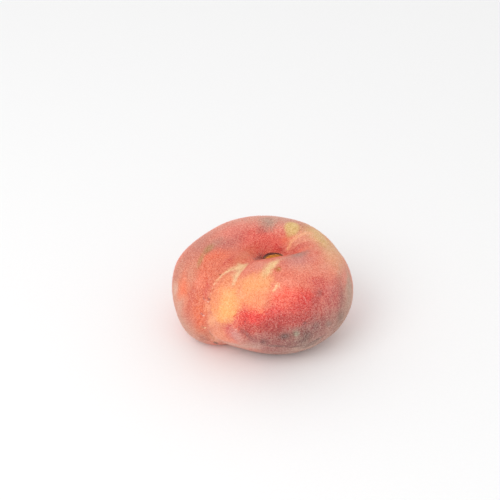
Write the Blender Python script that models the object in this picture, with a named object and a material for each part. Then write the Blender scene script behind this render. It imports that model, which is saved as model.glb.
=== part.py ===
"""A ripe flat peach, also called a doughnut peach: one closed, furrowed fruit.

The form is a sphere primitive whose points are moved onto a turned outline. The outline runs from the
stem pit, over the shoulder and under to the blossom end, and it changes with the direction round the
fruit. Swells and furrows are then raised from that surface or pressed into it. Lengths are in
millimetres until the mesh is filled, and +X is the side where the shoulder furrow opens.
"""

import bmesh
import bpy
import numpy as np

MM = 0.001

# The turned outline as (radius, height), at even stations from the stem pit to the blossom end.
OUTLINE = [
    (0.0, 29.8), (3.6, 30.2), (6.2, 33.4), (10.2, 38.4),     # the pit's floor and wall
    (16.4, 41.2), (23.5, 40.3), (30.6, 35.6),                # the rounded shoulder
    (35.2, 27.5), (36.4, 19.0), (34.2, 10.6), (28.6, 3.4),   # the side
    (21.0, -0.9), (13.5, 0.3),                               # what it rests on, before it is pressed flat
    (7.5, 4.6), (3.0, 7.2), (0.0, 7.6),                      # the blossom end's hollow
]

# Eight directions, every 45 degrees from +X towards +Y.
RIM_RADIUS = (36.8, 34.4, 33.0, 34.0, 37.0, 32.6, 32.6, 36.2)
CROWN_HEIGHT = (40.0, 41.7, 41.7, 40.8, 39.2, 40.9, 40.7, 41.2)
PIT_WIDTH = (1.05, 0.95, 0.85, 0.97, 1.05, 0.86, 0.62, 0.72)   # as a share of the outline's

STEM_PIT_AT = (5.3, 6.2)        # the pit and the blossom end sit off the fruit's middle
BLOSSOM_END_AT = (-1.5, 1.0)
WAIST_HEIGHT = 19.0             # above this the crown's height takes effect
FLAT_EDGE = 0.5                 # how softly the underside turns into the flat that it rests on

# Broad swells and dents: direction in degrees, station, spread and rise.
SWELLS = [
    (204, 0.64, 12, 3.0),       # the left lobe hangs lower beside the suture
    (248, 0.66, 14, -2.8),      # and the front lobe lifts off the ground there
    (292, 0.62, 14, -1.8),      # the front lobe's faint flat, low down
    (318, 0.58, 11, -1.0),      # and its straight slope to the right
    (181, 0.40, 10, 1.9),       # the left shoulder's corner
    (62, 0.36, 10, -0.4),       # a faint flat on the far shoulder
]

# Furrows as (station, direction, depth, width) along their course.
SUTURE = [
    (0.08, 222, 0.0, 2.0), (0.16, 224, 1.6, 2.6), (0.24, 225, 2.4, 3.0), (0.30, 225, 2.3, 3.2),
    (0.35, 221, 2.0, 3.0), (0.40, 223, 1.4, 2.8), (0.45, 226, 1.1, 2.8), (0.50, 224, 1.0, 2.8),
    (0.56, 224, 1.2, 3.0), (0.63, 228, 1.9, 3.2), (0.72, 232, 2.0, 3.4), (0.82, 236, 1.6, 3.0),
    (0.95, 240, 0.2, 2.0),
]
SUTURE_BRANCH = [
    (0.18, 226, 0.0, 2.0), (0.24, 228, 0.8, 2.0), (0.303, 234, 1.6, 2.2), (0.367, 240, 1.0, 2.4),
    (0.43, 243, 0.0, 2.6),
]
SHOULDER_FURROW = [
    (0.08, 350, 0.0, 2.5), (0.15, 355, 1.5, 2.6), (0.21, 361, 2.2, 3.0), (0.26, 363, 1.9, 3.4),
    (0.31, 366, 1.5, 3.6), (0.40, 376, 0.9, 3.6), (0.50, 380, 0.0, 3.6),
]
FAR_FOLD = [
    (0.12, 36, 0.0, 2.0), (0.16, 36, 0.7, 2.0), (0.20, 36, 1.0, 2.0), (0.25, 34, 0.9, 2.2),
    (0.317, 30, 0.5, 2.6), (0.40, 25, 0.0, 2.8),
]
FRONT_GROOVE = [
    (0.20, 289, 0.0, 2.0), (0.253, 289, 0.5, 2.2), (0.31, 276, 0.5, 2.6), (0.36, 266, 0.0, 2.8),
]
FURROWS = [SUTURE, SUTURE_BRANCH, SHOULDER_FURROW, FAR_FOLD, FRONT_GROOVE]

MERIDIANS = 84
PARALLELS = 44

SKIN_COLOUR = (0.72, 0.19, 0.10, 1.0)   # linear orange-red, the skin's middle tone
SKIN_ROUGHNESS = 0.65                   # short down leaves no shine


def ease(x):
    """Zero to one with flat ends."""
    x = np.clip(x, 0.0, 1.0)
    return x * x * (3 - 2 * x)


def through(before, start, end, after, f):
    """The Catmull-Rom curve between start and end."""
    return 0.5 * (
        2 * start
        + (end - before) * f
        + (2 * before - 5 * start + 4 * end - after) * f**2
        + (3 * start - before - 3 * end + after) * f**3
    )


def along(values, station, mirror):
    """Reads values at stations 0 to 1. mirror is -1 for a radius, which crosses the axis at both ends."""
    values = np.array(values, float)
    padded = np.concatenate([[mirror * values[1]], values, [mirror * values[-2]]])
    x = np.clip(station, 0, 1) * (len(values) - 1)
    i = np.minimum(x.astype(int), len(values) - 2)
    return through(padded[i], padded[i + 1], padded[i + 2], padded[i + 3], x - i)


def around(values, angle):
    """Reads values placed at even directions round the fruit."""
    values = np.array(values, float)
    n = len(values)
    x = (angle / (2 * np.pi) * n) % n
    i = x.astype(int) % n
    return through(values[i - 1], values[i], values[(i + 1) % n], values[(i + 2) % n], x - np.floor(x))


def outline(station):
    radius = along([point[0] for point in OUTLINE], station, -1)
    height = along([point[1] for point in OUTLINE], station, 1)
    return radius, height


def plain_form(angle, station):
    """The fruit without swells and furrows: points, the way out of the surface, and the outline's radius."""
    radius, height = outline(station)
    step = 1e-3
    radius_on, height_on = outline(np.clip(station + step, 0, 1))
    radius_back, height_back = outline(np.clip(station - step, 0, 1))
    run, rise = radius_on - radius_back, height_on - height_back
    length = np.hypot(run, rise) + 1e-12

    widest = max(point[0] for point in OUTLINE)
    tallest = max(point[1] for point in OUTLINE)
    pit = 1 + (around(PIT_WIDTH, angle) - 1) * ease(station / 0.10)
    rim = around(RIM_RADIUS, angle) / widest
    wide = radius * (pit + (rim - pit) * ease((station - 0.08) / 0.40))
    lift = (around(CROWN_HEIGHT, angle) - WAIST_HEIGHT) / (tallest - WAIST_HEIGHT)
    lift = 1 + (lift - 1) * ease(radius / 12)
    high = np.where(height > WAIST_HEIGHT, WAIST_HEIGHT + (height - WAIST_HEIGHT) * lift, height)

    near_stem, near_blossom = 1 - ease(station / 0.42), ease((station - 0.6) / 0.35)
    x = wide * np.cos(angle) + STEM_PIT_AT[0] * near_stem + BLOSSOM_END_AT[0] * near_blossom
    y = wide * np.sin(angle) + STEM_PIT_AT[1] * near_stem + BLOSSOM_END_AT[1] * near_blossom
    out = np.stack([-rise * np.cos(angle), -rise * np.sin(angle), run], -1) / length[..., None]
    return np.stack([x, y, high], -1), out, radius


def furrow_depth(course, angle, station, radius):
    """How far a furrow presses in: sharp at its bottom, with sides that fade."""
    stations, directions, depths, widths = (np.array(column, float) for column in zip(*course))
    middle = np.radians(np.interp(station, stations, directions))
    depth = np.interp(station, stations, depths, 0, 0)
    width = np.interp(station, stations, widths)
    off = (angle - middle + np.pi) % (2 * np.pi) - np.pi
    across = off * np.maximum(radius, 2.0) / width
    bottom = 0.35
    return depth * np.exp(bottom - np.sqrt(across**2 + bottom**2))


def pressed_flat(height):
    """Its own weight has pressed the lowest ring flat, with a soft edge."""
    edge = (height + FLAT_EDGE) ** 2 / (4 * FLAT_EDGE)
    return np.where(height > FLAT_EDGE, height, np.where(height > -FLAT_EDGE, edge, 0.0))


def fruit_form(angle, station):
    """Points of the finished surface in metres, standing on z = 0 and centred on the origin."""
    points, out, radius = plain_form(angle, station)
    rise = np.zeros(len(points))
    for direction, at, spread, height in SWELLS:
        middle = plain_form(np.array([np.radians(direction)]), np.array([float(at)]))[0]
        rise += height * np.exp(-((points - middle) ** 2).sum(-1) / spread**2)
    for course in FURROWS:
        rise -= furrow_depth(course, angle, station, radius)
    points = points + out * rise[:, None]
    points[:, 2] = pressed_flat(points[:, 2])
    middle = (points.min(0) + points.max(0)) / 2
    points[:, :2] -= middle[:2]
    return points * MM


def clear_scene():
    for obj in list(bpy.data.objects):
        bpy.data.objects.remove(obj, do_unlink=True)


def skin_material():
    material = bpy.data.materials.new("peach skin")
    material.use_nodes = True
    shader = material.node_tree.nodes["Principled BSDF"]
    shader.inputs["Base Color"].default_value = SKIN_COLOUR
    shader.inputs["Roughness"].default_value = SKIN_ROUGHNESS
    shader.inputs["Metallic"].default_value = 0.0
    material.diffuse_color = SKIN_COLOUR
    return material


def make_peach():
    shape = bmesh.new()
    bmesh.ops.create_uvsphere(shape, u_segments=MERIDIANS, v_segments=PARALLELS, radius=1.0)
    sphere = np.array([vertex.co[:] for vertex in shape.verts])
    angle = np.arctan2(sphere[:, 1], sphere[:, 0]) % (2 * np.pi)
    station = np.arccos(np.clip(sphere[:, 2], -1, 1)) / np.pi
    for vertex, point in zip(shape.verts, fruit_form(angle, station)):
        vertex.co = point
    bmesh.ops.recalc_face_normals(shape, faces=shape.faces)
    mesh = bpy.data.meshes.new("peach")
    shape.to_mesh(mesh)
    shape.free()
    mesh.shade_smooth()
    mesh.materials.append(skin_material())
    return bpy.data.objects.new("peach", mesh)


clear_scene()
fruit = bpy.data.collections.new("flat peach")
bpy.context.scene.collection.children.link(fruit)
fruit.objects.link(make_peach())
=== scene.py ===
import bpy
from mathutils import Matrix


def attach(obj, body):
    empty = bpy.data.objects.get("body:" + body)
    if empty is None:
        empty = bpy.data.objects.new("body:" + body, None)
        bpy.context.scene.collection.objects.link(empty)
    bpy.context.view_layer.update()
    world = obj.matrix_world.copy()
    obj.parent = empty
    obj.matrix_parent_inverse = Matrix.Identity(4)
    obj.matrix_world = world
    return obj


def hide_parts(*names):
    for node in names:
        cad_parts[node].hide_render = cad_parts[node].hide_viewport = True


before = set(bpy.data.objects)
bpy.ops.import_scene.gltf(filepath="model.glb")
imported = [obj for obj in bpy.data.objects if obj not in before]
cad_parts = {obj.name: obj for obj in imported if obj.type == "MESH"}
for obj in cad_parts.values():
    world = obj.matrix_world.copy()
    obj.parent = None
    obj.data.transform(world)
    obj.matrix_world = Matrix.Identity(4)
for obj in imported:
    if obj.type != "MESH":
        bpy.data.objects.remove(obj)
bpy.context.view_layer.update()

import math

import bpy
import numpy as np
from mathutils import Matrix, Vector, noise

mm = 0.001
tiny = 1e-12                         # keeps a length that is divided by from being 0
print("frame loaded")


# The fruit's form: the same values as the part's own source, with a fine relief added.
fruit = {
    "outline": [
        (0.0, 29.8), (3.6, 30.2), (6.2, 33.4), (10.2, 38.4),
        (16.4, 41.2), (23.5, 40.3), (30.6, 35.6),
        (35.2, 27.5), (36.4, 19.0), (34.2, 10.6), (28.6, 3.4),
        (21.0, -0.9), (13.5, 0.3),
        (7.5, 4.6), (3.0, 7.2), (0.0, 7.6),
    ],
    "rimRadius": (36.8, 34.4, 33.0, 34.0, 37.0, 32.6, 32.6, 36.2),      # every 45 degrees
    "rimFrom": (0.08, 0.40),         # the station where the rim's radius starts to count, and over how far
    "crownHeight": (40.0, 41.7, 41.7, 40.8, 39.2, 40.9, 40.7, 41.2),
    "crownFrom": 12,                 # the radius from which the crown's height counts in full
    "pitWidth": (1.05, 0.95, 0.85, 0.97, 1.05, 0.86, 0.62, 0.72),
    "pitFrom": 0.10,                 # the station from which the pit's width counts in full
    "stemPitAt": (5.3, 6.2),
    "stemPitUntil": 0.42,            # where the pit's shift to one side has faded out
    "blossomEndAt": (-1.5, 1.0),
    "blossomEndFrom": (0.60, 0.35),  # where the blossom end's shift starts, and over how far it grows
    "waistHeight": 19.0,
    "flatEdge": 0.5,
    "nearAxis": 2.0,                 # a furrow or line grows no narrower than at this radius
    "furrowBottom": 0.35,            # how round a furrow's bottom is, as a share of its width
    "swells": [                      # direction, station, spread, rise
        (204, 0.64, 12, 3.0), (248, 0.66, 14, -2.8), (292, 0.62, 14, -1.8), (318, 0.58, 11, -1.0),
        (181, 0.40, 10, 1.9), (62, 0.36, 10, -0.4),
    ],
    "furrows": {                     # station, direction, depth, width
        "suture": [
            (0.08, 222, 0.0, 2.0), (0.16, 224, 1.6, 2.6), (0.24, 225, 2.4, 3.0), (0.30, 225, 2.3, 3.2),
            (0.35, 221, 2.0, 3.0), (0.40, 223, 1.4, 2.8), (0.45, 226, 1.1, 2.8), (0.50, 224, 1.0, 2.8),
            (0.56, 224, 1.2, 3.0), (0.63, 228, 1.9, 3.2), (0.72, 232, 2.0, 3.4), (0.82, 236, 1.6, 3.0),
            (0.95, 240, 0.2, 2.0),
        ],
        "branch": [
            (0.18, 226, 0.0, 2.0), (0.24, 228, 0.8, 2.0), (0.303, 234, 1.6, 2.2), (0.367, 240, 1.0, 2.4),
            (0.43, 243, 0.0, 2.6),
        ],
        "shoulder": [
            (0.08, 350, 0.0, 2.5), (0.15, 355, 1.5, 2.6), (0.21, 361, 2.2, 3.0), (0.26, 363, 1.9, 3.4),
            (0.31, 366, 1.5, 3.6), (0.40, 376, 0.9, 3.6), (0.50, 380, 0.0, 3.6),
        ],
        "farFold": [
            (0.12, 36, 0.0, 2.0), (0.16, 36, 0.7, 2.0), (0.20, 36, 1.0, 2.0), (0.25, 34, 0.9, 2.2),
            (0.317, 30, 0.5, 2.6), (0.40, 25, 0.0, 2.8),
        ],
        "frontGroove": [
            (0.20, 289, 0.0, 2.0), (0.253, 289, 0.5, 2.2), (0.31, 276, 0.5, 2.6), (0.36, 266, 0.0, 2.8),
        ],
    },
    "lumps": (7.0, 0.12),            # spacing and height of the faint unevenness under the skin
    "wrinkles": {                    # thin ones, on the far shoulder
        "middle": (20, 0.23),        # direction and station
        "spread": (34, 0.09),
        "count": 46,                 # as many as would go round the fruit
        "drift": 7,                  # how often each one changes on its way down
        "height": 0.10,
    },
    "smoothPit": 0.10,               # the lumps start past this station
    "smoothFoot": 1.0,               # and all relief ends at this height
    "meridians": 456,
    "parallels": 208,
}


def ease(x):
    x = np.clip(x, 0.0, 1.0)
    return x * x * (3 - 2 * x)


def through(before, start, end, after, f):
    # the Catmull-Rom curve between start and end
    return 0.5 * (2 * start + (end - before) * f + (2 * before - 5 * start + 4 * end - after) * f**2
                  + (3 * start - before - 3 * end + after) * f**3)


def along(values, station, mirror):
    values = np.array(values, float)
    padded = np.concatenate([[mirror * values[1]], values, [mirror * values[-2]]])
    x = np.clip(station, 0, 1) * (len(values) - 1)
    i = np.minimum(x.astype(int), len(values) - 2)
    return through(padded[i], padded[i + 1], padded[i + 2], padded[i + 3], x - i)


def around(values, angle):
    values = np.array(values, float)
    n = len(values)
    x = (angle / (2 * np.pi) * n) % n
    i = x.astype(int) % n
    return through(values[i - 1], values[i], values[(i + 1) % n], values[(i + 2) % n], x - np.floor(x))


def outline(station):
    return (along([point[0] for point in fruit["outline"]], station, -1),
            along([point[1] for point in fruit["outline"]], station, 1))


def plainForm(angle, station):
    # the fruit without swells and furrows: points, the way out of the surface, and the outline's radius
    radius, height = outline(station)
    step = 1e-3
    radiusOn, heightOn = outline(np.clip(station + step, 0, 1))
    radiusBack, heightBack = outline(np.clip(station - step, 0, 1))
    run, rise = radiusOn - radiusBack, heightOn - heightBack
    length = np.hypot(run, rise) + tiny
    widest = max(point[0] for point in fruit["outline"])
    tallest = max(point[1] for point in fruit["outline"])
    waist = fruit["waistHeight"]
    pit = 1 + (around(fruit["pitWidth"], angle) - 1) * ease(station / fruit["pitFrom"])
    rim = around(fruit["rimRadius"], angle) / widest
    start, over = fruit["rimFrom"]
    wide = radius * (pit + (rim - pit) * ease((station - start) / over))
    lift = (around(fruit["crownHeight"], angle) - waist) / (tallest - waist)
    lift = 1 + (lift - 1) * ease(radius / fruit["crownFrom"])
    high = np.where(height > waist, waist + (height - waist) * lift, height)
    start, over = fruit["blossomEndFrom"]
    nearStem, nearBlossom = 1 - ease(station / fruit["stemPitUntil"]), ease((station - start) / over)
    x = wide * np.cos(angle) + fruit["stemPitAt"][0] * nearStem + fruit["blossomEndAt"][0] * nearBlossom
    y = wide * np.sin(angle) + fruit["stemPitAt"][1] * nearStem + fruit["blossomEndAt"][1] * nearBlossom
    out = np.stack([-rise * np.cos(angle), -rise * np.sin(angle), run], -1) / length[..., None]
    return np.stack([x, y, high], -1), out, radius


def alongCourse(course, angle, station, radius):
    # for a furrow or a line: millimetres across from its middle, its depth or strength, and its width
    stations, directions, strengths, widths = (np.array(column, float) for column in zip(*course))
    middle = np.radians(np.interp(station, stations, directions))
    off = (angle - middle + np.pi) % (2 * np.pi) - np.pi
    across = off * np.maximum(radius, fruit["nearAxis"])
    return across, np.interp(station, stations, strengths, 0, 0), np.interp(station, stations, widths)


def pressedFlat(height):
    edge = (height + fruit["flatEdge"]) ** 2 / (4 * fruit["flatEdge"])
    return np.where(height > fruit["flatEdge"], height, np.where(height > -fruit["flatEdge"], edge, 0.0))


def fineRelief(points, angle, station):
    # faint lumps all over, and thin wrinkles that run down the far shoulder from the stem pit
    spacing, height = fruit["lumps"]
    lumps = np.array([noise.noise(Vector(p) / spacing) for p in points]) * height
    wrinkles = fruit["wrinkles"]
    fullTurn, layer = 6.283, 3.0     # radians, and which layer of the noise
    (towards, middle), (spreadRound, spreadDown) = wrinkles["middle"], wrinkles["spread"]
    where = np.exp(-(((np.degrees(angle) - towards + 180) % 360 - 180) / spreadRound) ** 2)
    where = where * np.exp(-((station - middle) / spreadDown) ** 2)
    ridges = [noise.noise(Vector((a * wrinkles["count"] / fullTurn, s * wrinkles["drift"], layer)))
              for a, s in zip(angle, station)]
    ridges = np.array(ridges) * wrinkles["height"] * where
    return (lumps * ease(station / fruit["smoothPit"]) + ridges) * (points[:, 2] > fruit["smoothFoot"])


def fruitForm(angle, station):
    # points of the finished surface in millimetres, standing on z = 0
    points, out, radius = plainForm(angle, station)
    rise = np.zeros(len(points))
    for direction, at, spread, height in fruit["swells"]:
        middle = plainForm(np.array([np.radians(direction)]), np.array([float(at)]))[0]
        rise += height * np.exp(-((points - middle) ** 2).sum(-1) / spread**2)
    bottom = fruit["furrowBottom"]
    for course in fruit["furrows"].values():
        across, depth, width = alongCourse(course, angle, station, radius)
        rise -= depth * np.exp(bottom - np.sqrt((across / width) ** 2 + bottom**2))
    rise += fineRelief(points, angle, station)
    points = points + out * rise[:, None]
    points[:, 2] = pressedFlat(points[:, 2])
    return points


def gridOf(meridians, parallels):
    # one row of points a station, with a single point at each pole
    angle = np.tile(np.arange(meridians) * 2 * np.pi / meridians, parallels - 1)
    station = np.repeat(np.arange(1, parallels) / parallels, meridians)
    return np.concatenate([[0.0], angle, [0.0]]), np.concatenate([[0.0], station, [1.0]])


skinAngle, skinStation = gridOf(fruit["meridians"], fruit["parallels"])
skinPoints = fruitForm(skinAngle, skinStation)
middleOfFruit = (skinPoints.min(0) + skinPoints.max(0)) / 2 * (1, 1, 0)
skinPoints = skinPoints - middleOfFruit
print("form worked out:", (skinPoints.max(0) - skinPoints.min(0)).round(1), "mm")


def placeOnSkin(direction, station):
    # a point of the surface, with the ways across the meridian, down it and out of the skin there
    angle = math.radians(direction)
    aside, ahead = 0.02, 0.008       # small steps in radians and in station
    a = np.array([angle, angle + aside, angle - aside, angle, angle])
    s = np.array([station, station, station, min(station + ahead, 1.0), max(station - ahead, 0.0)])
    p = fruitForm(a, s) - middleOfFruit
    across = Vector(p[1] - p[2]).normalized()
    down = Vector(p[3] - p[4])
    down = (down - across * down.dot(across)).normalized()
    return Vector(p[0]), across, down, across.cross(down)


def addNode(tree, kind, inputs=None, **settings):
    node = tree.nodes.new("ShaderNode" + kind)
    for name, value in settings.items():
        setattr(node, name, value)
    for name, value in (inputs or {}).items():
        if isinstance(value, bpy.types.NodeSocket):
            tree.links.new(value, node.inputs[name])
        else:
            node.inputs[name].default_value = value
    return node


def linear(hexColour):
    # an sRGB hex colour as the linear values that a shader takes
    parts = [int(hexColour[i:i + 2], 16) / 255 for i in (1, 3, 5)]
    return [p / 12.92 if p <= 0.04045 else ((p + 0.055) / 1.055) ** 2.4 for p in parts] + [1.0]


def layColours(tree, ground, layers):
    # lays colours over the ground one after another, each as strongly as its mask says
    colour = ground
    for mask, tone in layers:
        colour = addNode(tree, "Mix", {0: mask, 6: colour, 7: linear(tone)}, data_type="RGBA").outputs[2]
    return colour


def newMaterial(name):
    material = bpy.data.materials.new(name)
    material.use_nodes = True
    return material, material.node_tree, material.node_tree.nodes["Principled BSDF"]


def meshPiece(name, points, faces, material, smooth=True):
    mesh = bpy.data.meshes.new(name)
    mesh.from_pydata((np.asarray(points) * mm).tolist(), [], faces)
    mesh.materials.append(material)
    if smooth:
        mesh.shade_smooth()
    piece = bpy.data.objects.new(name, mesh)
    bpy.context.scene.collection.objects.link(piece)
    return piece


def storeValues(piece, name, values):
    kind, field = ("FLOAT", "value") if values.ndim == 1 else ("FLOAT_VECTOR", "vector")
    piece.data.attributes.new(name, kind, "POINT").data.foreach_set(field, values.astype(np.float32).ravel())


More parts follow.
